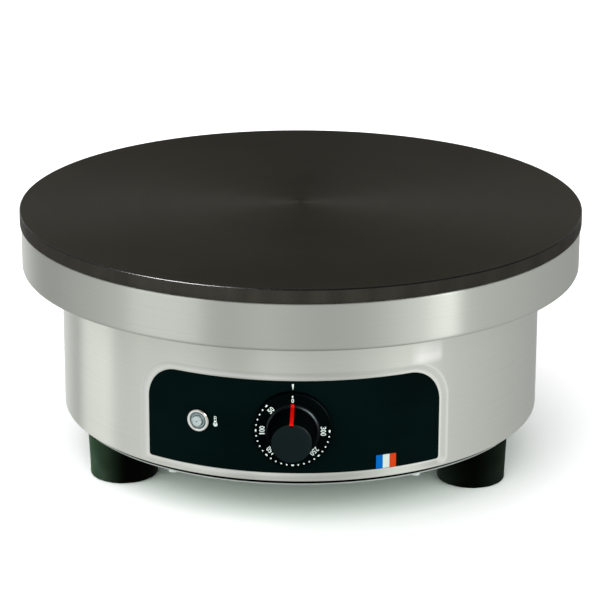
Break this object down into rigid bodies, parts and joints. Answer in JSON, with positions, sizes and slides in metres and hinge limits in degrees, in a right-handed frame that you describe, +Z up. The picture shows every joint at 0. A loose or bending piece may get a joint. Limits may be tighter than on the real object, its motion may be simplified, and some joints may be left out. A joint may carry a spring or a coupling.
{
  "type": "electric crepe maker",
  "caption": "Round countertop crepe maker: cast-iron griddle on a two-step steel drum with a turning thermostat knob, a pilot lamp, a rear cable gland and rubber feet.",
  "frame": {"origin": "on the standing surface, under the middle of the griddle plate", "axes": "+Z up, the control panel faces -Y, the cable gland faces +Y, +X is to the right seen from the front"},
  "size_m": [0.3999, 0.4, 0.18],
  "materials": {
    "cast_iron": "machined flat, oiled, satin",
    "brushed_steel": "brushed round the drum",
    "zinc_steel": "zinc plated",
    "heater_sheath": "dark annealed sheath",
    "insulation": "pressed mineral wool",
    "panel_black": "satin black overlay",
    "knob_black": "satin moulded phenolic",
    "pointer_red": "moulded red insert",
    "chrome": "polished bezel",
    "lens_clear": "frosted clear lens",
    "lamp_plastic": "moulded lamp body",
    "ceramic": "unglazed white ceramic",
    "brass": "plain brass",
    "copper": "drawn copper",
    "lead_brown": "silicone insulation",
    "lead_white": "glass-sleeved insulation",
    "lead_grey": "silicone insulation",
    "lead_green": "silicone insulation",
    "gland_black": "moulded polyamide",
    "rubber_black": "satin moulded rubber"
  },
  "bodies": {
    "root": {"griddle_plate": "cast_iron", "centre_stud": "zinc_steel", "tie_rods": "zinc_steel", "tie_spacers": "zinc_steel", "tie_washers": "zinc_steel", "tie_nuts": "zinc_steel", "element_outer": "heater_sheath", "element_middle": "heater_sheath", "element_inner": "heater_sheath", "element_clamp": "zinc_steel", "clamp_nut": "zinc_steel", "insulation_disc": "insulation", "heat_shield": "zinc_steel", "upper_ring": "brushed_steel", "body_shell": "brushed_steel", "panel_overlay": "panel_black", "thermostat_bracket": "zinc_steel", "thermostat_body": "ceramic", "thermostat_screws": "zinc_steel", "sensing_bulb": "copper", "bulb_clip": "zinc_steel", "bulb_clip_screw": "zinc_steel", "capillary_tube": "copper", "limit_cutout": "ceramic", "lamp_body": "lamp_plastic", "lamp_nut": "zinc_steel", "lamp_bezel": "chrome", "lamp_lens": "lens_clear", "wiring_bracket": "zinc_steel", "bracket_screws": "zinc_steel", "terminal_block": "ceramic", "terminal_screws": "brass", "earth_stud": "brass", "link_bars": "brass", "link_nuts": "zinc_steel", "thermostat_leads": "lead_brown", "element_leads": "lead_white", "lamp_leads": "lead_grey", "earth_lead": "lead_green", "gland_body": "gland_black", "gland_dome_nut": "gland_black", "gland_seal": "rubber_black", "gland_locknut": "gland_black", "base_seal": "rubber_black", "bottom_plate": "brushed_steel", "bottom_plate_screws": "zinc_steel", "rubber_feet": "rubber_black", "foot_washers": "zinc_steel", "foot_screws": "zinc_steel", "foot_nuts": "zinc_steel"},
    "knob": {"control_knob": "knob_black", "knob_pointer": "pointer_red", "knob_spring_clip": "zinc_steel", "thermostat_spindle": "zinc_steel"}
  },
  "joints": [
    {"name": "knob_turn", "type": "hinge", "parent": "root", "child": "knob", "pos_m": [0, -0.17, 0.0732], "axis": [0, 1, 0], "range_deg": [0, 270]}
  ]
}
